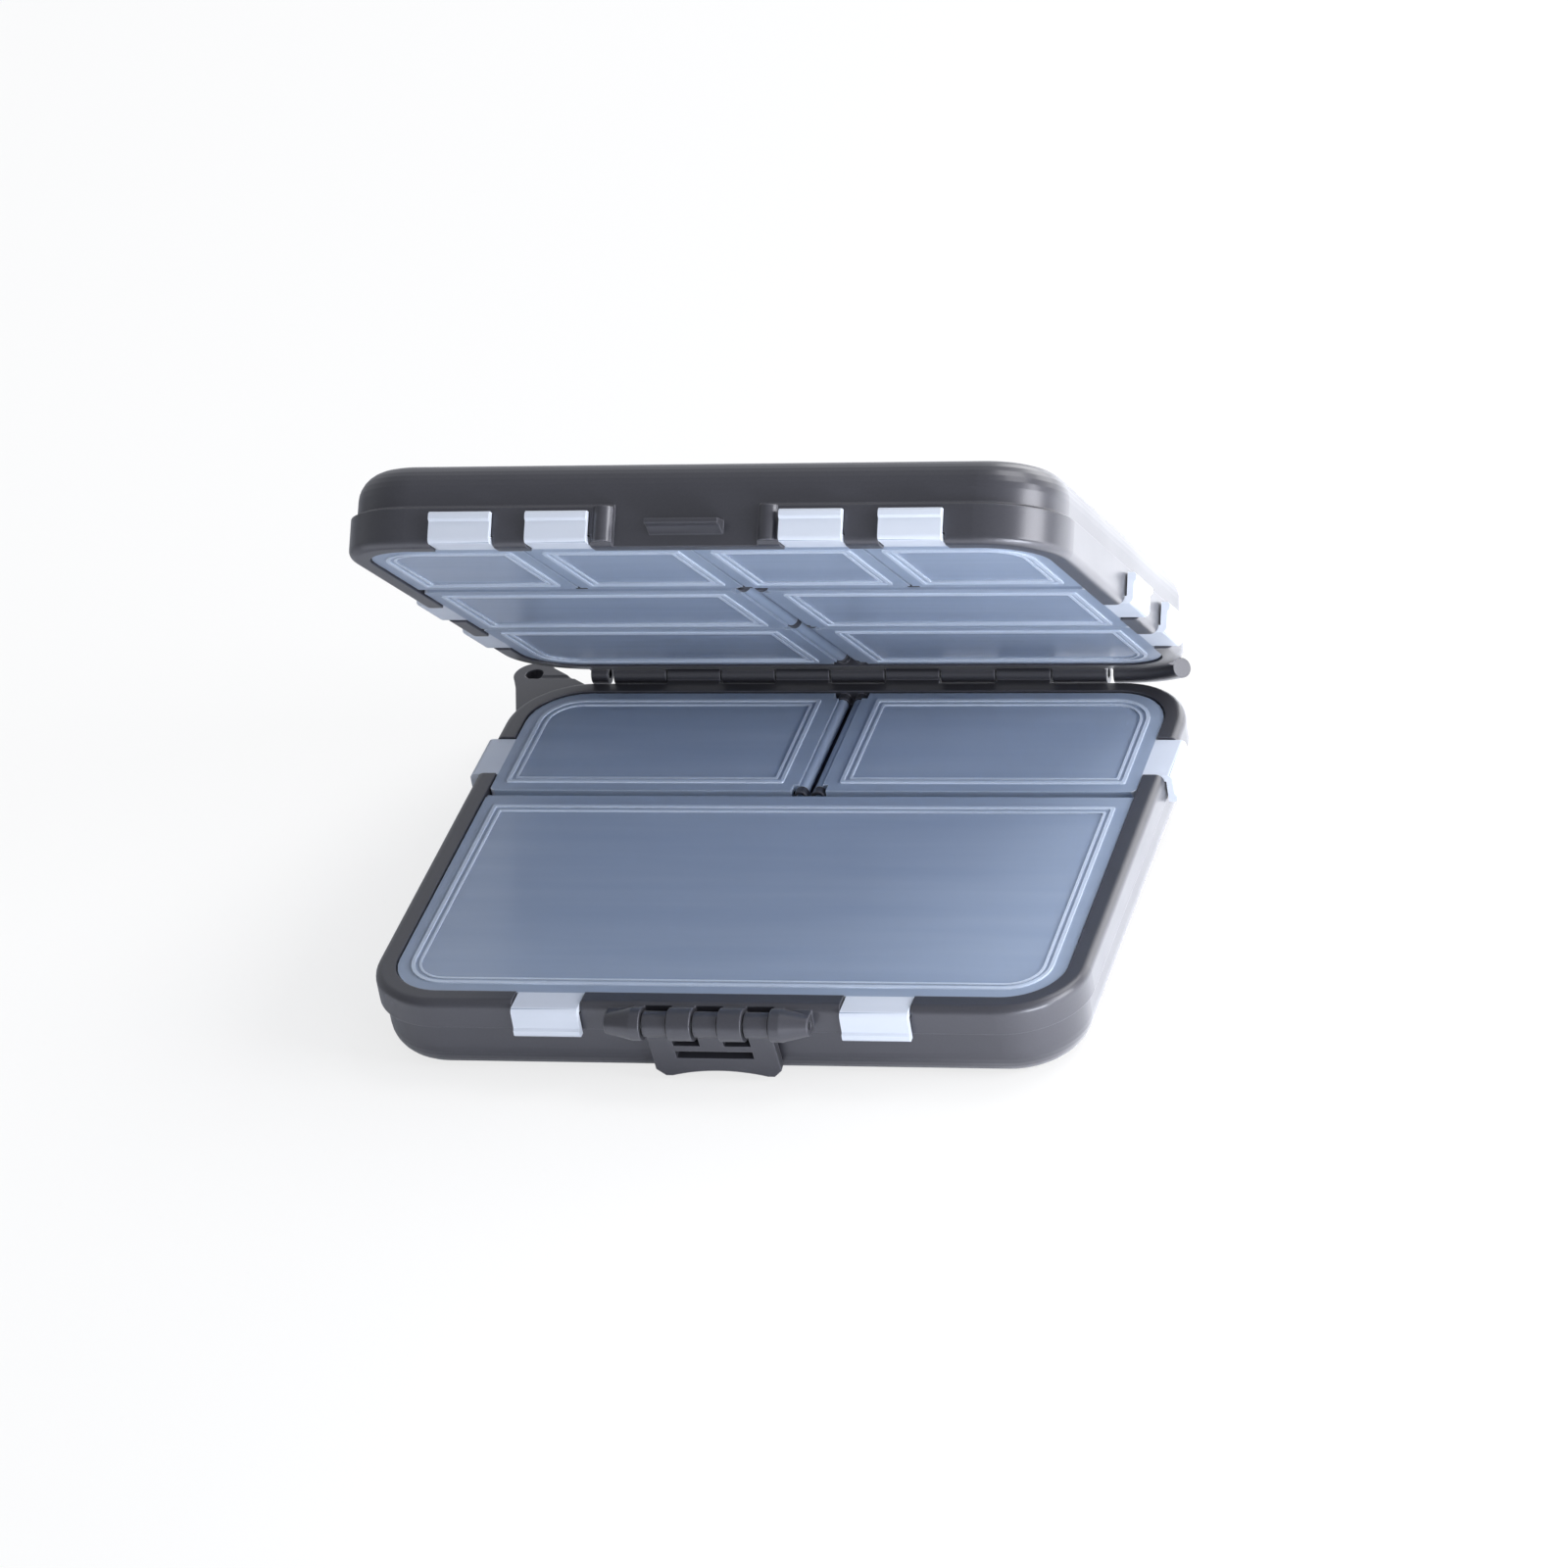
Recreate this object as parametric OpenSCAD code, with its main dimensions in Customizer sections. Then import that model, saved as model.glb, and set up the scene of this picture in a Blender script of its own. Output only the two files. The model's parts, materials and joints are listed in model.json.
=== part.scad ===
// Pocket fishing tackle box: two shallow compartment trays hinged at the back, with a latch at
// the front. Each tray is covered by its own small snap lids, so nothing spills while it is open.
// Lengths are in millimetres. The lower tray stands on z = 0, the front faces -Y.
// Each tray is drawn with its rim up and its parting plane at z = 0, then put in its place.

/* [Case] */
// Width of each tray over its rim band
box_w = 120; // [96:1:160]
// Depth of each tray over its rim band, front to back
box_d = 100; // [84:1:130]
// Height of each tray, from its outer face to the parting plane
half_h = 14.5; // [12.5:0.5:24]
// Angle between the two trays as drawn
open_angle = 42.5; // [38:0.5:60]
// Radius of the upright corners
corner_r = 13; // [10:0.5:16]
// Radius of the edge round each outer face
edge_r = 5; // [3:0.5:6]
// Thickness of the side walls
wall_t = 2; // [1.6:0.1:2.6]
// Thickness of the floors
floor_t = 1.6; // [1.2:0.1:2.4]
// How far the rim band stands out from the wall
band_proud = 1; // [0.6:0.1:1.2]
// Height of the lower tray's rim band
lower_band_h = 5; // [4:0.25:6]
// Height of the upper tray's rim band
upper_band_h = 6.5; // [5:0.25:8]
// Gap between the two rims when the box is shut
parting_gap = 0.3; // [0.2:0.05:0.5]

/* [Compartments] */
// Distance from the front of the lower tray to the big lid's hinge line
big_lid_reach = 63.35; // [52:0.5:68]
// Distance from the front of the upper tray to the front lids' hinge line
front_row_reach = 34.7; // [28:0.5:40]
// Distance from the front of the upper tray to the wall between the side lids
side_row_reach = 66.25; // [58:0.5:72]
// Thickness of the fixed walls between compartments
partition_t = 1.4; // [1:0.1:2]
// Thickness of the loose dividers
divider_t = 1.2; // [0.8:0.1:1.6]
// Distance of the long divider in front of the box's middle
long_divider_y = 13; // [8:0.5:20]
// Distance of the two inner short dividers from the middle
inner_divider_x = 13.2; // [9:0.2:16]
// Distance of the two outer short dividers from the middle
outer_divider_x = 24; // [20:0.5:34]

/* [Lids] */
// Thickness of the lids
lid_t = 1.2; // [1:0.1:1.5]
// How far the lids lie below the parting plane
lid_drop = 0.5; // [0.45:0.05:0.8]
// Distance from the rim's outer face to the lids' edges
lid_inset = 3.75; // [3.5:0.25:4.5]
// Radius of the rod along each lid's hinge edge
rod_r = 1.1; // [1:0.05:1.3]
// Radius of the trunnions at the ends of the rod
trunnion_r = 0.65; // [0.55:0.05:0.75]
// Width of the big lid's two clips
lower_clip_w = 11.2; // [8:0.2:13]
// Distance of the big lid's clips from the middle
lower_clip_x = 27.5; // [24:0.5:34]
// Width of the front lids' clips
front_clip_w = 10.2; // [8:0.2:10.6]
// Distance of the two inner front clips from the line between their lid and the next
inner_clip_x = 7.125; // [6.625:0.25:7.625]
// Distance of the two outer front clips from the line between their lid and the next
outer_clip_x = 9.075; // [6.875:0.25:10.875]
// Width of the side lids' clips
side_clip_w = 11.2; // [8:0.2:12]
// How far the clips hang below the parting plane
clip_drop = 5.6; // [5:0.1:7]
// Thickness of the clips' hanging leaf
leaf_t = 1.1; // [0.9:0.1:1.4]

/* [Main hinge] */
// Length of one hinge knuckle with its gap
knuckle_pitch = 9.78; // [8:0.01:10]
// Outer radius of the hinge knuckles
knuckle_r = 1.9; // [1.7:0.05:2]
// Distance of the hinge line behind the rim
hinge_offset = 2; // [1.9:0.05:2.4]
// Radius of the hinge pin
hinge_pin_r = 0.8; // [0.6:0.05:1]

/* [Latch] */
// Distance between the middles of the latch knuckles
latch_pitch = 8.5; // [7:0.1:9]
// Width of each latch knuckle and arm
latch_arm_w = 4; // [3.4:0.1:4.6]
// Thickness of the latch plate
latch_t = 1.6; // [1.2:0.1:1.8]
// Length of the latch from its pin to the ends of its arms
latch_l = 11; // [10:0.1:11.2]
// Depth of the latch pin below the parting plane
latch_pin_z = 2.5; // [2.2:0.1:2.7]
// Distance of the latch pin in front of the rim band
latch_pin_y = 1.9; // [1.7:0.05:2.2]
// Radius of the latch pin
latch_pin_r = 0.7; // [0.5:0.05:0.8]
// Inward lean of the latch where it hangs open
latch_lean = 12; // [4:1:13]

/* [Lanyard lug] */
// Radius of the lanyard hole
lanyard_hole_r = 1.6; // [1:0.1:2]
// Radius of the lug round the hole
lug_r = 3.7; // [3.2:0.1:4]
// Thickness of the lug
lug_t = 3; // [2:0.1:3.5]

/* [Hidden] */
$fn = 48;
run_gap = 0.05;       // radial gap round every pin and trunnion
side_gap = 0.3;       // gap between pieces that move past each other
lid_edge_gap = 0.25;  // gap between a lid and the rim or its neighbour
seat_w = 0.85;        // how far a lid's edge lies on its ledge
rim_round = 1.4;      // radius of the rim's outer edge
sink = 0.3;           // how far joined shapes run into each other
arc_steps = 8;        // flats in a quarter circle of an outline

rim_z = -parting_gap / 2;
wall_r = corner_r - band_proud;
inner_r = wall_r - wall_t;
seat_r = corner_r - lid_inset - seat_w;
recess_r = corner_r - lid_inset + lid_edge_gap;
floor_z = -half_h + floor_t;
lid_top = -lid_drop;
lid_under = lid_top - lid_t;
seat_z = lid_under - lid_edge_gap;
rail_z = seat_z - 1.2;
rod_step = 0.25;
rod_z = lid_top - rod_step - rod_r;
rod_clear_z = rod_z - rod_r - side_gap;
bead_in = [2.3, 3.6];
bead_w = [0.6, 0.4];
bead_h = [0.25, 0.15];
panel_drop = 0.1;
skirt_h = 1.4;
skirt_t = 0.8;
skirt_in = 1.2;
divider_top_z = lid_under - skirt_h - side_gap;

half_w = box_w / 2;
half_d = box_d / 2;
lid_x = half_w - lid_inset;
lid_y = half_d - lid_inset;
inner_x = half_w - band_proud - wall_t;
inner_y = half_d - band_proud - wall_t;
big_axis_y = big_lid_reach - half_d;
front_axis_y = front_row_reach - half_d;
side_wall_y = side_row_reach - half_d;
rod_to_next = lid_top - rod_z + side_gap;
rear_edge_y = big_axis_y + rod_to_next;
middle_edge_y = front_axis_y + rod_to_next;
gutter_x = rod_r + 0.45;
cell_w = lid_x / 2;
ear_r = 1.2;
ear_l = 1.6;
post_w = 2;
lid_corner_r = corner_r - lid_inset;
square_corner_r = 0.8;
trunnion_l = 1.1;
mid_ear = 0.9;

hinge_y = half_d + hinge_offset;
knuckle_count = 9;
knuckle_gap = 0.3;
hinge_row_l = knuckle_count * knuckle_pitch;
bar_r = knuckle_r - 0.2;
bar_start = hinge_row_l / 2 + 1;
left_bar_l = 3;
bar_turn = 45;

latch_axis_y = -half_d - latch_pin_y;
latch_knuckle_r = 2.1;
boss_r = 2.7;
boss_l = 34;
boss_taper = 4.5;
latch_slot = [5.4, 7];
latch_bar = 1.2;
latch_half_w = latch_pitch + latch_arm_w / 2;
latch_slot_half = latch_pitch - latch_arm_w / 2;
catch_half_w = latch_slot_half - 0.4;
latch_recess_w = 2 * (latch_half_w + 1.5);
recess_post_r = 1.7;

lug_x = -half_w + 0.7;
lug_y = half_d + 3;
lug_top = -0.6;
lug_clear = 1.29;

groove_rib = 1.1;
divider_gap = 0.3;
divider_foot = max(edge_r - wall_t, 0.8) + 0.3;
corner_cut = 0.3;
rail_w = inner_r - seat_r;
hinge_wall_front = 0.75;
hinge_wall_y = big_axis_y + rod_r - hinge_wall_front;
gutter_end = ear_l + side_gap - lid_edge_gap;

lower_side_clip_y = rear_edge_y + 0.342 * (lid_y - rear_edge_y);
middle_clip_y = middle_edge_y + 0.55 * (side_wall_y - middle_edge_y);
rear_clip_y = side_wall_y + 0.33 * (lid_y - side_wall_y);

SIDES = ["left", "right"];

// ---------------------------------------------------------------- outlines

function arc(x, y, r, from, to) =
    [for (i = [0:arc_steps]) let (a = from + (to - from) * i / arc_steps)
        [x + r * cos(a), y + r * sin(a)]];

// Corners run anticlockwise from the low x, low y one; r holds their four radii.
function rounded(x0, y0, x1, y1, r) = concat(
    arc(x0 + r[0], y0 + r[0], r[0], 180, 270),
    arc(x1 - r[1], y0 + r[1], r[1], 270, 360),
    arc(x1 - r[2], y1 - r[2], r[2], 0, 90),
    arc(x0 + r[3], y1 - r[3], r[3], 90, 180));

module block(x, y, z) {
    translate([x[0], y[0], z[0]])
        cube([x[1] - x[0], y[1] - y[0], z[1] - z[0]]);
}

module rod_x(x, y, z, r) {
    translate([x[0], y, z])
        rotate([0, 90, 0])
            cylinder(r = r, h = x[1] - x[0]);
}

module rod_y(x, y, z, r) {
    translate([x, y[0], z])
        rotate([-90, 0, 0])
            cylinder(r = r, h = y[1] - y[0]);
}

// ---------------------------------------------------------------- trays

// Half section of a tray from a corner's centre outwards: floor, rounded edge, wall, rim band,
// and the rail inside the rim with the ledge that the lids lie on.
module tray_section(band_h) {
    inner_edge_r = max(edge_r - wall_t, 0.8);
    polygon(concat(
        [[0, -half_h]],
        arc(wall_r - edge_r, -half_h + edge_r, edge_r, 270, 360),
        [[wall_r, -band_h - band_proud / 2], [corner_r, -band_h]],
        arc(corner_r - rim_round, rim_z - rim_round, rim_round, 0, 90),
        [[recess_r, rim_z], [recess_r, seat_z], [seat_r, seat_z], [seat_r, rail_z]],
        [[inner_r, rail_z - (inner_r - seat_r)]],
        arc(inner_r - inner_edge_r, floor_z + inner_edge_r, inner_edge_r, 0, -90),
        [[0, floor_z]]));
}

module tray_body(band_h) {
    for (k = [0:3]) {
        long = k % 2 == 0 ? box_w : box_d;
        wide = k % 2 == 0 ? box_d : box_w;
        rotate([0, 0, 90 * k])
            translate([long / 2 - corner_r, wide / 2 - corner_r, 0]) {
                rotate_extrude(angle = 90)
                    tray_section(band_h);
                rotate([90, 0, 0])
                    linear_extrude(wide - 2 * corner_r)
                        tray_section(band_h);
            }
    }
    mid_x = half_w - corner_r;
    mid_y = half_d - corner_r;
    block([-mid_x, mid_x], [-mid_y, mid_y], [-half_h, floor_z]);
}

// Wall across the tray under a hinge rod: low below the rod, with a ledge for the next lids.
module hinge_wall(axis_y) {
    front = axis_y + rod_r - hinge_wall_front;
    ledge = axis_y + rod_to_next - 0.1;
    back = axis_y + rod_to_next + seat_w;
    block([-inner_x - sink, inner_x + sink], [front, back], [floor_z - sink, rod_clear_z]);
    block([-inner_x - sink, inner_x + sink], [ledge, back], [floor_z - sink, seat_z]);
}

// Room for a hinge rod that runs from one side of the tray to the other.
module rod_room(axis_y) {
    rod_x([-lid_x - lid_edge_gap, lid_x + lid_edge_gap], axis_y, rod_z, rod_r + side_gap);
}

module partition_y(x, y) {
    block([x - partition_t / 2, x + partition_t / 2], y, [floor_z - sink, seat_z]);
}

// Ear for the trunnions of lids that are hinged along the gutter, on both sides of it.
module gutter_ears(y) {
    for (s = [-1, 1]) {
        rod_y(s * gutter_x, y, rod_z, ear_r);
        block([s * gutter_x - ear_r, s * gutter_x + ear_r], y, [floor_z - sink, rod_z]);
    }
    block([-gutter_x, gutter_x], y, [floor_z - sink, rod_z]);
}

module gutter_wall(y) {
    block([-gutter_x, gutter_x], y, [floor_z - sink, rod_clear_z]);
}

module gutter_bores(y) {
    for (s = [-1, 1])
        rod_y(s * gutter_x, y, rod_z, trunnion_r + run_gap);
}

// Slot through the rim that a clip's strap lies in, on the front (0) or a side (1 or -1).
module clip_slot(middle, width, side) {
    w = width / 2 + lid_edge_gap;
    z = [seat_z, 1];
    if (side == 0)
        block([middle - w, middle + w], [-half_d - 1, -lid_y + 1], z);
    else
        mirror([side > 0 ? 0 : 1, 0, 0])
            block([lid_x - 1, half_w + 1], [middle - w, middle + w], z);
}

// Knuckles of one tray along the hinge line: the even or the odd places of the row.
module knuckles(first) {
    for (i = [first:2:knuckle_count - 1]) {
        x0 = -hinge_row_l / 2 + i * knuckle_pitch + knuckle_gap / 2;
        x1 = x0 + knuckle_pitch - knuckle_gap;
        rod_x([x0, x1], hinge_y, 0, knuckle_r);
        block([x0, x1], [half_d - rim_round - 1, hinge_y], [-knuckle_r, rim_z]);
    }
}

// Room for the other tray's knuckles, cut behind the rim.
module knuckle_room(first) {
    for (i = [first:2:knuckle_count - 1]) {
        x0 = -hinge_row_l / 2 + i * knuckle_pitch - knuckle_gap / 2;
        x1 = x0 + knuckle_pitch + knuckle_gap;
        rod_x([x0, x1], hinge_y, 0, knuckle_r + side_gap);
    }
}

module hinge_bore() {
    rod_x([-half_w, bar_start - 0.5], hinge_y, 0, hinge_pin_r + run_gap);
}

// Section of the bar that carries on from the upper tray's knuckles, with its web to the rim.
module bar_section() {
    root = corner_r - rim_round - 1;
    middle = corner_r + hinge_offset;
    web_z = rim_z - 0.1;
    polygon(concat(
        [[root, web_z], [root, -bar_r]],
        arc(middle, 0, bar_r, -90, 0), arc(middle, 0, bar_r, 0, 90), arc(middle, 0, bar_r, 90, 180),
        [[middle - bar_r, web_z]]));
}

// The bars stiffen the upper tray's rear edge: a short one on the left, clear of the lanyard
// lug, and one on the right that follows the corner.
module hinge_bars() {
    right_start = min(bar_start, half_w - corner_r - 0.5);
    for (x = [[right_start, half_w - corner_r], [-bar_start - left_bar_l, -bar_start]])
        translate([x[0], half_d - corner_r, 0])
            rotate([90, 0, 90])
                linear_extrude(x[1] - x[0])
                    bar_section();
    translate([half_w - corner_r, half_d - corner_r, 0])
        rotate([0, 0, 90 - bar_turn])
            rotate_extrude(angle = bar_turn)
                bar_section();
}

module latch_boss() {
    straight = boss_l / 2 - boss_taper;
    rod_x([-straight, straight], latch_axis_y, -latch_pin_z, boss_r);
    for (s = [0, 1])
        mirror([s, 0, 0])
            translate([straight - 0.01, latch_axis_y, -latch_pin_z])
                rotate([0, 90, 0])
                    cylinder(r1 = boss_r, r2 = boss_r * 0.6, h = boss_taper);
    block([-straight, straight], [latch_axis_y, -half_d + 0.5],
          [-latch_pin_z - boss_r, rim_z - rim_round / 3]);
    block([-boss_l / 2, boss_l / 2], [latch_axis_y, -half_d + 0.5],
          [-latch_pin_z - boss_r * 0.6, -latch_pin_z + boss_r * 0.6]);
}

module latch_slots() {
    w = latch_arm_w / 2 + side_gap;
    for (i = [-1:1])
        block([i * latch_pitch - w, i * latch_pitch + w],
              [latch_axis_y - boss_r - 1, latch_axis_y + latch_knuckle_r + side_gap],
              [-half_h, 1]);
}

module lanyard_lug() {
    outer = corner_r - rim_round;
    web = concat(
        arc(-half_w + corner_r, half_d - corner_r, outer, 172, 96),
        [[-bar_start - left_bar_l - lug_clear, half_d - sink], [lug_x + 1, lug_y + lug_r * 0.96],
         [lug_x - lug_r * 0.75, lug_y - lug_r * 0.66]]);
    translate([0, 0, lug_top - lug_t]) {
        linear_extrude(lug_t)
            polygon(web);
        translate([lug_x, lug_y, 0])
            cylinder(r = lug_r, h = lug_t);
    }
}

// Pairs of ribs on the walls that the ends of the loose dividers stand between.
module divider_grooves() {
    off = divider_t / 2 + divider_gap / 2;
    z = [floor_z - sink, divider_top_z];
    for (s = [-1, 1]) {
        mirror([s > 0 ? 0 : 1, 0, 0])
            for (t = [-1, 1])
                block([inner_x - groove_rib, inner_x + sink],
                      rib_span(-long_divider_y, t, off), z);
        for (x = [inner_divider_x, outer_divider_x]) {
            block(rib_span(-x, s, off), [-inner_y - sink, -inner_y + groove_rib], z);
            block(rib_span(x, s, off), [hinge_wall_y - groove_rib, hinge_wall_y + sink], z);
        }
    }
}

function rib_span(middle, side, off) =
    side > 0 ? [middle + off, middle + off + groove_rib]
             : [middle - off - groove_rib, middle - off];

module lower_tray() {
    difference() {
        union() {
            difference() {
                tray_body(lower_band_h);
                rod_room(big_axis_y);
            }
            lanyard_lug();
            hinge_wall(big_axis_y);
            gutter_wall([rear_edge_y, inner_y + sink]);
            gutter_ears([rear_edge_y, rear_edge_y + ear_l]);
            gutter_ears([lid_y + lid_edge_gap - ear_l, lid_y + 1]);
            divider_grooves();
            latch_boss();
            knuckles(1);
        }
        knuckle_room(0);
        hinge_bore();
        latch_slots();
        rod_x([-half_w, half_w], latch_axis_y, -latch_pin_z, latch_pin_r + run_gap);
        rod_x([-lid_x - 1.5, lid_x + 1.5], big_axis_y, rod_z, trunnion_r + run_gap);
        gutter_bores([rear_edge_y - 0.1, lid_y + 1.6]);
        for (s = [-1, 1]) {
            clip_slot(s * lower_clip_x, lower_clip_w, 0);
            clip_slot(lower_side_clip_y, side_clip_w, s);
        }
        translate([lug_x, lug_y, -half_h])
            cylinder(r = lanyard_hole_r, h = half_h);
    }
}

// Post between two lids of the upper front row, for the trunnions on both its sides.
module front_post(x) {
    rod_x([x - post_w / 2, x + post_w / 2], front_axis_y, rod_z, ear_r);
    block([x - post_w / 2, x + post_w / 2], [front_axis_y - ear_r, front_axis_y + ear_r],
          [floor_z - sink, rod_z]);
}

// Wedge that the latch's slot snaps over, in the recess at the front of the upper tray.
module catch() {
    wall_y = -half_d + band_proud + sink;
    plate_y = latch_axis_y + latch_t / 2;
    tip_y = latch_axis_y - 0.2;
    low = latch_slot[0] - latch_pin_z;
    high = latch_slot[1] - latch_pin_z;
    translate([-catch_half_w, 0, 0])
        rotate([90, 0, 90])
            linear_extrude(2 * catch_half_w)
                polygon([[wall_y, -low + 0.9], [plate_y + 0.2, -low - 0.2], [tip_y, -low - 0.45],
                         [tip_y, -high + 0.4], [wall_y, -high + 0.1]]);
}

module latch_recess() {
    block([-latch_recess_w / 2, latch_recess_w / 2], [-half_d - 1, -half_d + band_proud],
          [-upper_band_h - band_proud, 1]);
}

module recess_posts() {
    for (s = [-1, 1])
        translate([s * (latch_recess_w / 2 + recess_post_r), -half_d + 0.7, -upper_band_h])
            cylinder(r = recess_post_r, h = upper_band_h - 0.8);
}

module upper_tray() {
    difference() {
        union() {
            difference() {
                tray_body(upper_band_h);
                latch_recess();
                rod_room(front_axis_y);
            }
            catch();
            recess_posts();
            hinge_wall(front_axis_y);
            for (i = [-1:1]) {
                partition_y(i * cell_w, [-inner_y - sink, front_axis_y + rod_r]);
                front_post(i * cell_w);
            }
            block([-inner_x - sink, inner_x + sink],
                  [side_wall_y - partition_t / 2, side_wall_y + partition_t / 2],
                  [floor_z - sink, seat_z]);
            gutter_wall([middle_edge_y, inner_y + sink]);
            gutter_ears([middle_edge_y, middle_edge_y + ear_l]);
            gutter_ears([side_wall_y - mid_ear, side_wall_y + mid_ear]);
            gutter_ears([lid_y + lid_edge_gap - ear_l, lid_y + 1]);
            knuckles(0);
            hinge_bars();
        }
        knuckle_room(1);
        hinge_bore();
        rod_x([-lid_x - 1.5, lid_x + 1.5], front_axis_y, rod_z, trunnion_r + run_gap);
        gutter_bores([middle_edge_y - 0.1, lid_y + 1.6]);
        for (s = [-1, 1]) {
            clip_slot(s * (cell_w - inner_clip_x), front_clip_w, 0);
            clip_slot(s * (cell_w + outer_clip_x), front_clip_w, 0);
            clip_slot(middle_clip_y, side_clip_w, s);
            clip_slot(rear_clip_y, side_clip_w, s);
        }
    }
}

// ---------------------------------------------------------------- lids

// Clip on a lid's free edge: a strap across the rim, a leaf down its outside and a finger lip.
module clip(middle, width) {
    inside = lid_inset + lid_edge_gap;
    outside = inside + leaf_t;
    bend = 0.9;
    lip = 0.4;
    lip_h = 1.2;
    translate([middle - width / 2, 0, 0])
        rotate([90, 0, 90])
            linear_extrude(width)
                polygon(concat(
                    [[1, lid_top]],
                    arc(-outside + bend, lid_top - bend, bend, 90, 180),
                    [[-outside, -clip_drop + lip_h + lip], [-outside - lip, -clip_drop + lip_h],
                     [-outside - lip, -clip_drop + lip], [-outside, -clip_drop],
                     [-inside, -clip_drop], [-inside, lid_under], [1, lid_under]]));
}

// Outline of a lid at a distance inside its edges.
module lid_outline(x, reach, back, r, inset) {
    r0 = max(r[0] - inset, 0.3);
    r1 = max(r[1] - inset, 0.3);
    polygon(rounded(x[0] + inset, -reach + inset, x[1] - inset, -back - inset, [r0, r1, 0.3, 0.3]));
}

// Raised line round a lid, a little inside its edges.
module bead(x, reach, r, inset, width, height) {
    translate([0, 0, lid_top - sink])
        linear_extrude(height + sink)
            difference() {
                lid_outline(x, reach, rod_r, r, inset);
                lid_outline(x, reach, rod_r, r, inset + width);
            }
}

// Skirt under a lid's free sides that drops inside the compartment.
module skirt(x, reach, r) {
    back = ear_r + side_gap + 0.3;
    translate([0, 0, lid_under - skirt_h])
        linear_extrude(skirt_h + sink)
            difference() {
                lid_outline(x, reach, back - skirt_in, r, skirt_in);
                lid_outline(x, reach, back - skirt_in - 2 * skirt_t, r, skirt_in + skirt_t);
            }
}

// A lid with its hinge rod along X at y = 0 and its free edge towards -Y.
// x holds its two edges, r its two free corners' radii, and ends how far the rod stops short.
module lid(x, reach, r, ends, clips, clip_w) {
    rod = [x[0] + ends[0], x[1] - ends[1]];
    color([0.55, 0.62, 0.72, 0.7])
        difference() {
            union() {
                difference() {
                    translate([0, 0, lid_under])
                        linear_extrude(lid_t)
                            lid_outline(x, reach, rod_r / 2, r, 0);
                    translate([0, 0, lid_top - panel_drop])
                        linear_extrude(1)
                            lid_outline(x, reach, rod_r, r, bead_in[1] + bead_w[1]);
                }
                for (i = [0, 1])
                    bead(x, reach, r, bead_in[i], bead_w[i], bead_h[i]);
                skirt(x, reach, r);
                rod_x(rod, 0, rod_z, rod_r);
                rod_x([rod[0] - trunnion_l, rod[1] + trunnion_l], 0, rod_z, trunnion_r);
                translate([0, -reach, 0])
                    for (c = clips)
                        clip(c, clip_w);
            }
            for (e = [0, 1])
                if (ends[e] > 0)
                    lid_end_notch(e == 0 ? [x[0] - 1, rod[0]] : [rod[1], x[1] + 1]);
        }
}

// Room round an ear at one end of a lid, which leaves the trunnion.
module lid_end_notch(x) {
    difference() {
        block(x, [-ear_r - side_gap, rod_r + 1], [lid_under - skirt_h - 1, 1]);
        rod_x([x[0] - 1, x[1] + 1], 0, rod_z, trunnion_r);
    }
}

// A lid hinged along the gutter, on the left or right, between two places along Y.
module side_lid(side, y, ends, r, clip_y) {
    mirror([side == "left" ? 1 : 0, 0, 0])
        translate([gutter_x, 0, 0])
            rotate([0, 0, 90])
                lid(y, lid_x - gutter_x, r, ends, [clip_y], side_clip_w);
}

module front_lid(i) {
    x0 = (i - 3) * cell_w;
    post_end = post_w / 2 - lid_edge_gap + side_gap;
    left = i == 1 ? 0 : lid_edge_gap;
    right = i == 4 ? 0 : lid_edge_gap;
    inner = cell_w - inner_clip_x;
    outer = cell_w + outer_clip_x;
    clip_x = [-outer, -inner, inner, outer];
    translate([0, front_axis_y, 0])
        lid([x0 + left, x0 + cell_w - right], front_axis_y + lid_y,
            [i == 1 ? lid_corner_r : square_corner_r, i == 4 ? lid_corner_r : square_corner_r],
            [i == 1 ? 0 : post_end, i == 4 ? 0 : post_end],
            [clip_x[i - 1]], front_clip_w);
}

// ---------------------------------------------------------------- latch, pins and dividers

module latch_shape() {
    inner = latch_slot_half;
    middle = latch_arm_w / 2;
    chamfer = 1.4;
    scoop_depth = 1.2;
    scoop_half = inner + 1.5;
    scoop_r = (scoop_half * scoop_half + scoop_depth * scoop_depth) / (2 * scoop_depth);
    difference() {
        union() {
            for (i = [-1:1])
                rod_x([i * latch_pitch - middle, i * latch_pitch + middle], 0, 0, latch_knuckle_r);
            translate([0, latch_t / 2, 0])
                rotate([90, 0, 0])
                    linear_extrude(latch_t)
                        difference() {
                            polygon([[-latch_half_w, 0], [-latch_half_w, -latch_l + chamfer],
                                     [-latch_half_w + chamfer, -latch_l],
                                     [latch_half_w - chamfer, -latch_l],
                                     [latch_half_w, -latch_l + chamfer], [latch_half_w, 0]]);
                            for (s = [-1, 1])
                                translate([s * (inner + middle) / 2, 0])
                                    square([inner - middle, 2 * (latch_slot[0] - latch_bar)],
                                           center = true);
                            translate([-inner, -latch_slot[1]])
                                square([2 * inner, latch_slot[1] - latch_slot[0]]);
                            translate([0, -latch_l + scoop_depth - scoop_r])
                                circle(scoop_r, $fn = 96);
                        }
        }
        rod_x([-latch_half_w - 1, latch_half_w + 1], 0, 0, latch_pin_r + run_gap);
    }
}

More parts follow.
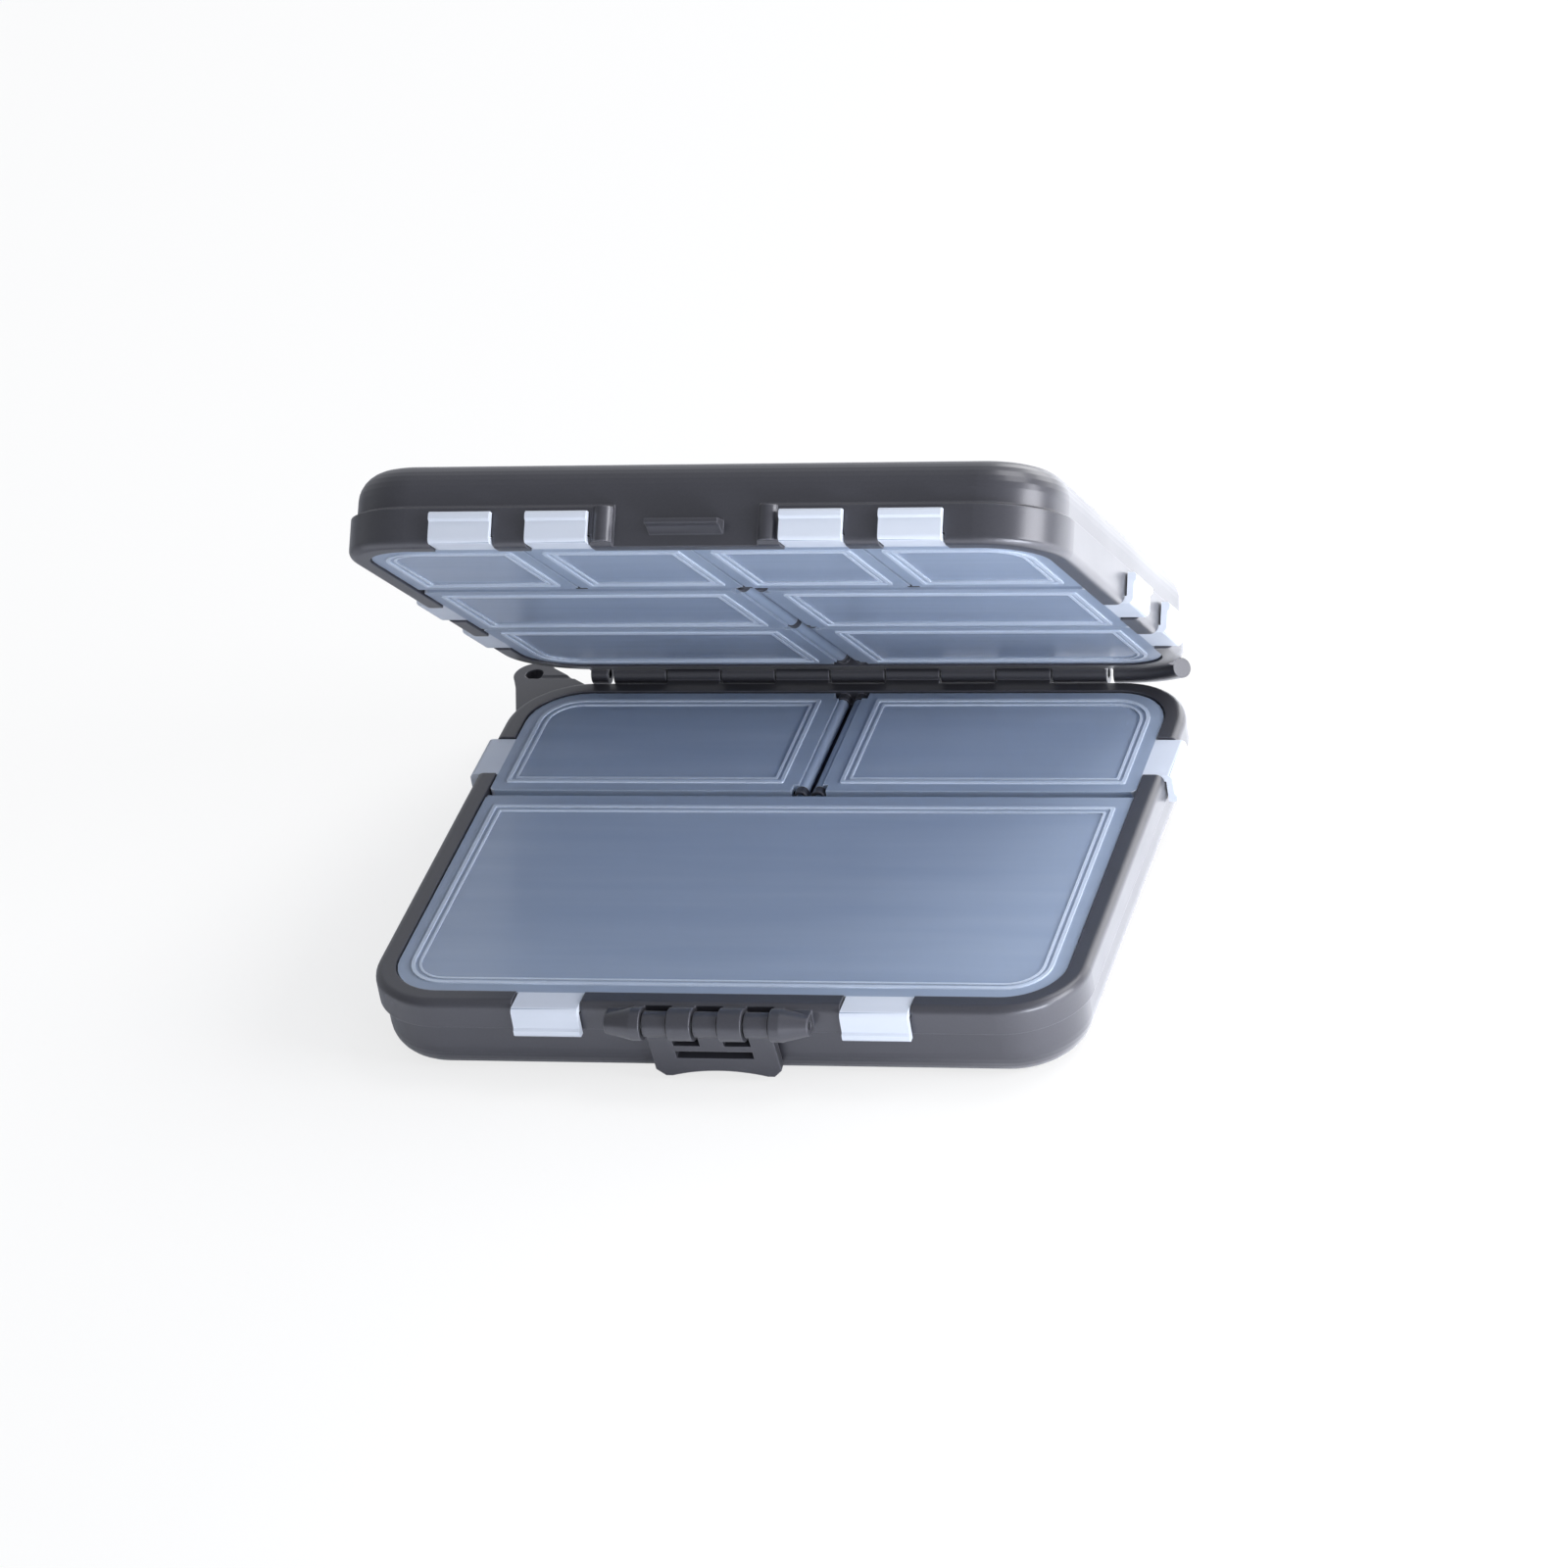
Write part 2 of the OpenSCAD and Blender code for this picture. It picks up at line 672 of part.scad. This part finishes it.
// Plate along X, with its corners cut for the floor's rounded edge and the rail under the rim.
module divider_plate(span, foot, shoulder) {
    translate([0, divider_t / 2, 0])
        rotate([90, 0, 0])
            linear_extrude(divider_t)
                polygon([[span[0] + foot[0], floor_z], [span[1] - foot[1], floor_z],
                         [span[1], floor_z + foot[1]], [span[1], divider_top_z - shoulder[1]],
                         [span[1] - shoulder[1], divider_top_z],
                         [span[0] + shoulder[0], divider_top_z],
                         [span[0], divider_top_z - shoulder[0]], [span[0], floor_z + foot[0]]]);
}

module long_divider_shape() {
    off = divider_t / 2 + divider_gap / 2;
    end = inner_x - divider_gap;
    z = [floor_z, divider_top_z];
    translate([0, -long_divider_y, 0]) {
        divider_plate([-end, end], [divider_foot, divider_foot], [rail_w, rail_w]);
        for (t = [-1, 1], x = [inner_divider_x, outer_divider_x]) {
            block(rib_span(-x, t, off), [-divider_t / 2 - groove_rib, 0], z);
            block(rib_span(x, t, off), [0, divider_t / 2 + groove_rib], z);
        }
    }
}

// Short dividers 1 and 2 stand in front of the long one, 3 and 4 behind it.
module short_divider_shape(i) {
    x = [-outer_divider_x, -inner_divider_x, inner_divider_x, outer_divider_x][i - 1];
    near = divider_t / 2 + divider_gap;
    span = i <= 2 ? [-inner_y + divider_gap, -long_divider_y - near]
                  : [-long_divider_y + near, hinge_wall_y - divider_gap];
    foot = i <= 2 ? [divider_foot, corner_cut] : [corner_cut, corner_cut];
    shoulder = i <= 2 ? [rail_w, corner_cut] : [corner_cut, corner_cut];
    translate([x, 0, 0])
        rotate([0, 0, 90])
            divider_plate(span, foot, shoulder);
}

// ---------------------------------------------------------------- pieces in place

module in_lower() {
    translate([0, 0, half_h])
        children();
}

module in_upper() {
    translate([0, hinge_y, half_h])
        rotate([-open_angle, 0, 0])
            translate([0, -hinge_y, 0])
                mirror([0, 0, 1])
                    children();
}

module lower_shell() {
    color("#3c3c40")
        in_lower()
            lower_tray();
}

module upper_shell() {
    color("#46464a")
        in_upper()
            upper_tray();
}

module hinge_pin() {
    end = hinge_row_l / 2 - 0.6;
    color("#b8bac0")
        in_lower()
            rod_x([-end, end], hinge_y, 0, hinge_pin_r);
}

module latch() {
    color("#55555a")
        translate([0, latch_axis_y, half_h - latch_pin_z])
            rotate([latch_lean, 0, 0])
                latch_shape();
}

module latch_pin() {
    end = boss_l / 2 - 0.8;
    color("#b8bac0")
        in_lower()
            rod_x([-end, end], latch_axis_y, -latch_pin_z, latch_pin_r);
}

module big_lid() {
    in_lower()
        translate([0, big_axis_y, 0])
            lid([-lid_x, lid_x], big_axis_y + lid_y, [lid_corner_r, lid_corner_r], [0, 0],
                [-lower_clip_x, lower_clip_x], lower_clip_w);
}

module lower_rear_lid(side) {
    in_lower()
        side_lid(side, [rear_edge_y, lid_y], [gutter_end + lid_edge_gap, gutter_end],
                 [square_corner_r, lid_corner_r], lower_side_clip_y);
}

module upper_front_lid(i) {
    in_upper()
        front_lid(i);
}

module upper_middle_lid(side) {
    in_upper()
        side_lid(side, [middle_edge_y, side_wall_y - lid_edge_gap],
                 [gutter_end + lid_edge_gap, mid_ear + side_gap - lid_edge_gap],
                 [square_corner_r, square_corner_r], middle_clip_y);
}

module upper_rear_lid(side) {
    in_upper()
        side_lid(side, [side_wall_y + lid_edge_gap, lid_y],
                 [mid_ear + side_gap - lid_edge_gap, gutter_end],
                 [square_corner_r, lid_corner_r], rear_clip_y);
}

module long_divider() {
    color([0.75, 0.78, 0.82, 0.8])
        in_lower()
            long_divider_shape();
}

module short_divider(i) {
    color([0.75, 0.78, 0.82, 0.8])
        in_lower()
            short_divider_shape(i);
}

lower_shell();
upper_shell();
hinge_pin();
latch();
latch_pin();
big_lid();
for (s = SIDES) {
    lower_rear_lid(s);
    upper_middle_lid(s);
    upper_rear_lid(s);
}
for (i = [1:4]) {
    upper_front_lid(i);
    short_divider(i);
}
long_divider();
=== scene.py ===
import json
from math import cos, radians, sin

import bpy
from mathutils import Matrix, Vector

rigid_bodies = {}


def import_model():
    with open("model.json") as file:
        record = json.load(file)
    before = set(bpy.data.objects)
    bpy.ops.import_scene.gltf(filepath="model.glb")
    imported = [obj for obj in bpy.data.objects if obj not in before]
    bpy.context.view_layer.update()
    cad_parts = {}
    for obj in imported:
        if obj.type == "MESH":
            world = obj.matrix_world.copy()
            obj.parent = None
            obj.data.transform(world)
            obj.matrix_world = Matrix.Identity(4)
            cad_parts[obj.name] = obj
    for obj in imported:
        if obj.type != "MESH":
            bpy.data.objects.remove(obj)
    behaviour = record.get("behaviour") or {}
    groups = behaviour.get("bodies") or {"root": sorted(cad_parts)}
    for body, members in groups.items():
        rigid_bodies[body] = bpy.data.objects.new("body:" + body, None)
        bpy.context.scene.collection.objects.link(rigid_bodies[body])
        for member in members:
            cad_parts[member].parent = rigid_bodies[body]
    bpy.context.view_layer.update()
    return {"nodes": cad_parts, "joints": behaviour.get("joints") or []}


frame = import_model()
nodes = frame["nodes"]


# Camera
# A long lens looks down on the open box from the front, a little from the right, and rolled a
# few degrees, so that the front edges lie level.
camera_azimuth = radians(-19.63)
camera_elevation = radians(30.58)
camera_roll = radians(-10.11)
camera_distance = 1.1423
lens_mm = 159.2
aim = Vector((0, -0.00025, 0.0195))
aim_right = 0.000578
aim_up = 0.004564

view = Vector((sin(camera_azimuth) * cos(camera_elevation),
               cos(camera_azimuth) * cos(camera_elevation),
               -sin(camera_elevation)))
level_right = Vector((cos(camera_azimuth), -sin(camera_azimuth), 0))
level_up = level_right.cross(view)
right = level_right * cos(camera_roll) + level_up * sin(camera_roll)
up = level_up * cos(camera_roll) - level_right * sin(camera_roll)
camera = bpy.data.objects.new("camera", bpy.data.cameras.new("camera"))
bpy.context.collection.objects.link(camera)
camera.matrix_world = Matrix.Translation(
    aim - view * camera_distance + right * aim_right + up * aim_up
) @ Matrix((right, up, -view)).transposed().to_4x4()
camera.data.sensor_width = 36
camera.data.lens = lens_mm
camera.data.clip_start = 0.05
bpy.context.scene.camera = camera


# Studio
# A sheet of white paper in a white room, with soft lamps: wide ones overhead and behind, one on
# the right, a small one low and near at the front right that lights the inside of the cover,
# and a weak one low in front. Everything is brighter on the right than on the left.
def linear(hex_colour):
    """An sRGB hex colour as linear red, green, blue and alpha."""
    values = [int(hex_colour[i:i + 2], 16) / 255 for i in (1, 3, 5)]
    return [v / 12.92 if v <= 0.04045 else ((v + 0.055) / 1.055) ** 2.4 for v in values] + [1]


def add(tree, kind, inputs=None, **settings):
    """Adds a node. inputs gives each input, by name or number, a value or a socket to link."""
    node = tree.nodes.new(kind)
    for name, value in settings.items():
        setattr(node, name, value)
    for name, value in (inputs or {}).items():
        if isinstance(value, bpy.types.NodeSocket):
            tree.links.new(value, node.inputs[name])
        else:
            node.inputs[name].default_value = value
    return node


def new_material(name):
    """An empty node material and its output node."""
    made = bpy.data.materials.new(name)
    made.use_nodes = True
    made.node_tree.nodes.clear()
    return made, add(made.node_tree, "ShaderNodeOutputMaterial")


# Paper: seen directly it is white but keeps the box's shadow. In reflections only, its colour is
# painted brighter in front of the box and most of all on its right, up to more than white: a
# painted reflection that gives the pale right-hand walls.
paper, paper_out = new_material("white_paper_floor")
tree = paper.node_tree
rays = add(tree, "ShaderNodeLightPath")
seen = add(tree, "ShaderNodeMath", {0: rays.outputs["Is Camera Ray"],
                                    1: rays.outputs["Is Transmission Ray"]}, operation="MAXIMUM")
share = add(tree, "ShaderNodeMath", {0: seen.outputs[0], 1: 0.75}, operation="MULTIPLY")
across = add(tree, "ShaderNodeSeparateXYZ", {
    0: add(tree, "ShaderNodeTexCoord").outputs["Object"]})
on_right = add(tree, "ShaderNodeMapRange", {0: across.outputs["X"], 1: -0.02, 2: 0.075})
in_front = add(tree, "ShaderNodeMapRange", {0: across.outputs["Y"], 1: -0.02, 2: -0.06, 3: 0.0,
                                            4: 0.62})
lit = add(tree, "ShaderNodeMath", {0: on_right.outputs[0], 1: in_front.outputs[0]},
          operation="MAXIMUM")
# Painted reflection: in glossy rays the paper's colour runs from dim to brighter than white.
mirrored = add(tree, "ShaderNodeMix", {0: lit.outputs[0], 6: (0.4, 0.41, 0.45, 1),
                                       7: (2.3, 2.32, 2.4, 1)}, data_type="RGBA")
sheet = add(tree, "ShaderNodeMix", {0: rays.outputs["Is Glossy Ray"], 6: linear("#f2f2f2"),
                                    7: mirrored.outputs[2]}, data_type="RGBA")
sheet_white = add(tree, "ShaderNodeBsdfDiffuse", {"Color": sheet.outputs[2]})
plain_white = add(tree, "ShaderNodeEmission", {"Color": (1, 1, 1, 1), "Strength": 1.0})
mixed = add(tree, "ShaderNodeMixShader", {0: share.outputs[0], 1: sheet_white.outputs[0],
                                          2: plain_white.outputs[0]})
tree.links.new(mixed.outputs[0], paper_out.inputs["Surface"])

floor_size = 12
below_box = 0.00002
bpy.ops.mesh.primitive_plane_add(size=floor_size, location=(0, 0, -below_box))
floor = bpy.context.object
floor.name = "paper_floor"
floor.data.materials.append(paper)

# Room: white where it is seen directly, and in reflections brighter towards the right.
world = bpy.data.worlds.new("white_room")
bpy.context.scene.world = world
world.use_nodes = True
tree = world.node_tree
tree.nodes.clear()
rays = add(tree, "ShaderNodeLightPath")
seen = add(tree, "ShaderNodeMath", {0: rays.outputs["Is Camera Ray"],
                                    1: rays.outputs["Is Transmission Ray"]}, operation="MAXIMUM")
toward = add(tree, "ShaderNodeSeparateXYZ", {
    0: add(tree, "ShaderNodeTexCoord").outputs["Generated"]})
sheen = add(tree, "ShaderNodeMapRange", {0: toward.outputs["X"], 1: -0.6, 2: 0.6, 3: 0.6,
                                         4: 1.2})
room = add(tree, "ShaderNodeBackground", {"Color": linear("#eef2f8"), "Strength": 0.5})
mirrored = add(tree, "ShaderNodeBackground", {"Color": linear("#f2f5fb"),
                                              "Strength": sheen.outputs[0]})
seen_room = add(tree, "ShaderNodeBackground", {"Color": (1, 1, 1, 1), "Strength": 1.0})
mixed = add(tree, "ShaderNodeMixShader", {0: rays.outputs["Is Glossy Ray"], 1: room.outputs[0],
                                          2: mirrored.outputs[0]})
mixed = add(tree, "ShaderNodeMixShader", {0: seen.outputs[0], 1: mixed.outputs[0],
                                          2: seen_room.outputs[0]})
add(tree, "ShaderNodeOutputWorld", {"Surface": mixed.outputs[0]})

# Lamps: place, width and height in metres, and power in watts.
for name, place, width, height, watts, colour in (
    ("overhead_lamp", (0.6, 0.5, 1.2), 0.9, 0.7, 9.0, "#ffffff"),
    ("right_lamp", (0.5, -0.1, 0.22), 0.3, 0.25, 2.7, "#fbfcff"),
    ("near_lamp", (0.2, -0.22, 0.03), 0.14, 0.06, 0.54, "#f2f7ff"),
    ("back_lamp", (0.6, 1.4, 0.5), 1.6, 0.7, 12.0, "#ffffff"),
    ("front_lamp", (0.3, -1.3, 0.12), 0.9, 0.2, 1.2, "#f4f8ff"),
):
    lamp = bpy.data.lights.new(name, "AREA")
    lamp.shape = "RECTANGLE"
    lamp.size = width
    lamp.size_y = height
    lamp.energy = watts
    lamp.color = linear(colour)[:3]
    holder = bpy.data.objects.new(name, lamp)
    bpy.context.collection.objects.link(holder)
    holder.location = place
    holder.visible_camera = False
    holder.rotation_euler = (aim - Vector(place)).to_track_quat("-Z", "Y").to_euler()

bpy.context.scene.view_settings.view_transform = "Standard"


# Trays
# The two trays and the latch are injection moulded in charcoal polypropylene, each in one
# piece with its walls, rim, knuckles and lugs. The trays hinge on a steel pin along the back.
#
# Charcoal polypropylene, moulded against finely blasted steel: a satin skin with a very fine
# grain, slightly cloudy where the plastic flowed, and every edge painted paler as a painted
# highlight.
charcoal, charcoal_out = new_material("moulded_charcoal_polypropylene")
tree = charcoal.node_tree
place = add(tree, "ShaderNodeTexCoord").outputs["Object"]
blast_grain_mm = 0.35
flow_mm = 28
grain = add(tree, "ShaderNodeTexNoise", {"Vector": place, "Scale": 1000 / blast_grain_mm,
                                         "Detail": 2.0, "Roughness": 0.6})
flow = add(tree, "ShaderNodeTexNoise", {"Vector": place, "Scale": 1000 / flow_mm,
                                        "Detail": 3.0, "Roughness": 0.55})
tone = add(tree, "ShaderNodeMix", {0: flow.outputs["Fac"], 6: linear("#26262b"),
                                   7: linear("#303036")}, data_type="RGBA")
speck = add(tree, "ShaderNodeMapRange", {0: grain.outputs["Fac"], 1: 0.35, 2: 0.65, 3: 0.94,
                                         4: 1.06})
tone = add(tree, "ShaderNodeVectorMath", {0: tone.outputs[2], "Scale": speck.outputs[0]},
           operation="SCALE")
gloss = add(tree, "ShaderNodeMapRange", {0: flow.outputs["Fac"], 1: 0.3, 2: 0.7, 3: 0.34,
                                         4: 0.44})
edge = add(tree, "ShaderNodeBevel", {"Radius": 0.00035}, samples=6)
facing = add(tree, "ShaderNodeVectorMath", {
    0: edge.outputs[0], 1: add(tree, "ShaderNodeNewGeometry").outputs["Normal"]},
    operation="DOT_PRODUCT")
# Painted highlight: every edge is mixed towards a paler grey.
painted_edge_highlight = add(tree, "ShaderNodeMapRange", {0: facing.outputs["Value"], 1: 0.995, 2: 0.8, 3: 0.0,
                                          4: 0.7})
tone = add(tree, "ShaderNodeMix", {0: painted_edge_highlight.outputs[0], 6: tone.outputs[0],
                                   7: linear("#5c5c63")}, data_type="RGBA")
grain_bump = add(tree, "ShaderNodeBump", {"Strength": 0.12, "Distance": 0.00005,
                                          "Height": grain.outputs["Fac"],
                                          "Normal": edge.outputs[0]})
plastic = add(tree, "ShaderNodeBsdfPrincipled", {
    "Base Color": tone.outputs[2], "Roughness": gloss.outputs[0], "IOR": 1.5,
    "Specular Tint": linear("#eeeef8"), "Coat Weight": 0.3, "Coat Roughness": 0.22,
    "Coat IOR": 1.6, "Sheen Weight": 0.12, "Sheen Roughness": 0.35,
    "Normal": grain_bump.outputs[0]})
tree.links.new(plastic.outputs[0], charcoal_out.inputs["Surface"])
for name in ("lower_shell", "upper_shell", "latch"):
    nodes[name].data.materials.clear()
    nodes[name].data.materials.append(charcoal)


# Pins
# Two lengths of steel wire, one run through the knuckles of the main hinge and one through the
# latch and its boss. The knuckles turn on them with a little play.
#
# Drawn steel: bright grey, with fine dull lines along its length.
steel, steel_out = new_material("drawn_steel_wire")
tree = steel.node_tree
place = add(tree, "ShaderNodeTexCoord").outputs["Object"]
line_length_mm = 12.5
line_width_mm = 0.25
drawn = add(tree, "ShaderNodeMapping", {"Vector": place, "Scale": (
    1000 / line_length_mm, 1000 / line_width_mm, 1000 / line_width_mm)})
lines = add(tree, "ShaderNodeTexNoise", {"Vector": drawn.outputs[0], "Scale": 1.0, "Detail": 2.0})
dull = add(tree, "ShaderNodeMapRange", {0: lines.outputs["Fac"], 1: 0.3, 2: 0.7, 3: 0.22,
                                        4: 0.38})
metal = add(tree, "ShaderNodeBsdfPrincipled", {
    "Base Color": linear("#b9bbbe"), "Metallic": 1.0, "Roughness": dull.outputs[0]})
tree.links.new(metal.outputs[0], steel_out.inputs["Surface"])
for name in ("hinge_pin", "latch_pin"):
    nodes[name].data.materials.clear()
    nodes[name].data.materials.append(steel)


# Lids and dividers
# Each lid is moulded in one piece with its hinge rod and its clips, and snaps over the rim. The
# dividers are flat strips that stand in grooves of the lower tray.
#
# Frosted natural polypropylene, moulded: it lets some light through, so the thin panel of a lid
# shows the dark tray behind it and looks blue-grey. Beads, rods and clips are thicker. The border
# and rod get a darker copy of the material and the beads, clips and dividers paler copies: painted
# shade and painted light for how light scatters in the plastic. Every edge gets a painted
# milky-white highlight. Faint streaks follow the flow along the mould.
def frosted(name, darker, paler, transmission, roughness, streak):
    """Frosted polypropylene between two colours, clearer or milkier, and more or less streaked."""
    made, out = new_material(name)
    tree = made.node_tree
    place = add(tree, "ShaderNodeTexCoord").outputs["Object"]
    flow_mm, across_mm = 60, 5
    drawn = add(tree, "ShaderNodeMapping", {"Vector": place, "Scale": (
        1000 / flow_mm, 1000 / across_mm, 1000 / across_mm)})
    cloud = add(tree, "ShaderNodeTexNoise", {"Vector": drawn.outputs[0], "Scale": 1.0,
                                             "Detail": 2.0})
    tone = add(tree, "ShaderNodeMix", {0: cloud.outputs["Fac"], 6: linear(darker),
                                       7: linear(paler)}, data_type="RGBA")
    bump = add(tree, "ShaderNodeBump", {"Strength": streak, "Distance": 0.0002,
                                        "Height": cloud.outputs["Fac"]})
    edge = add(tree, "ShaderNodeBevel", {"Radius": 0.0003}, samples=6)
    facing = add(tree, "ShaderNodeVectorMath", {
        0: edge.outputs[0], 1: add(tree, "ShaderNodeNewGeometry").outputs["Normal"]},
        operation="DOT_PRODUCT")
    # Painted highlight: every edge is mixed towards milky white.
    painted_milky_edge_highlight = add(tree, "ShaderNodeMapRange", {0: facing.outputs["Value"], 1: 0.98, 2: 0.7,
                                             3: 0.0, 4: 0.65})
    tone = add(tree, "ShaderNodeMix", {0: painted_milky_edge_highlight.outputs[0], 6: tone.outputs[2],
                                       7: linear("#e6edf8")}, data_type="RGBA")
    body = add(tree, "ShaderNodeBsdfPrincipled", {
        "Base Color": tone.outputs[2], "Roughness": roughness, "IOR": 1.49,
        "Specular IOR Level": 0.2, "Transmission Weight": transmission, "Coat Weight": 0.12,
        "Coat Roughness": 0.15, "Coat IOR": 1.5, "Normal": bump.outputs[0]})
    tree.links.new(body.outputs[0], out.inputs["Surface"])
    return made


# Copies of one frosted plastic, darker on the border and rod and paler on beads, clips and
# dividers: painted shade and painted light.
panel_frost = frosted("frosted_polypropylene_panel", "#a6b6d0", "#bac8de", 0.46, 0.22, 0.4)
border_frost = frosted("frosted_polypropylene_border", "#98a7c0", "#aab8cd", 0.34, 0.35, 0.15)
bead_frost = frosted("frosted_polypropylene_bead", "#b9c6da", "#cad5e6", 0.2, 0.3, 0.05)
clip_frost = frosted("frosted_polypropylene_clip", "#c8cedb", "#d5dbe6", 0.15, 0.4, 0.1)
divider_frost = frosted("frosted_polypropylene_divider", "#d3dbe6", "#dfe5ee", 0.15, 0.35, 0.3)

# The faces of a lid are told apart by their height over the rod's axis, and the clips by their
# distance from it. The lengths are in metres.
rod_to_top = 0.00135
panel_drop = 0.0001
clip_reach = 0.0051
level = 0.00002
open_angle = radians(42.5)
lid_frosts = [panel_frost, border_frost, clip_frost, bead_frost]
for joint in frame["joints"]:
    if "lid" not in joint["name"]:
        continue
    lid = nodes[joint["child"]]
    outward = Vector((0, 0, 1))
    if joint["parent"] == "cover":
        outward = Vector((0, -sin(open_angle), -cos(open_angle)))
    to_edge = outward.cross(Vector(joint["axis"]))
    origin = Vector(joint["pos_m"])
    reach = max((v.co - origin).dot(to_edge) for v in lid.data.vertices
                if abs((v.co - origin).dot(outward) - rod_to_top) < level)
    lid.data.materials.clear()
    for made in lid_frosts:
        lid.data.materials.append(made)
    for face in lid.data.polygons:
        at = face.center - origin
        height = at.dot(outward)
        if abs(height - (rod_to_top - panel_drop)) < level:
            face.material_index = lid_frosts.index(panel_frost)
        elif at.dot(to_edge) > reach - clip_reach:
            face.material_index = lid_frosts.index(clip_frost)
        elif height > rod_to_top + level:
            face.material_index = lid_frosts.index(bead_frost)
        else:
            face.material_index = lid_frosts.index(border_frost)
for name, node in nodes.items():
    if "divider" in name:
        node.data.materials.clear()
        node.data.materials.append(divider_frost)
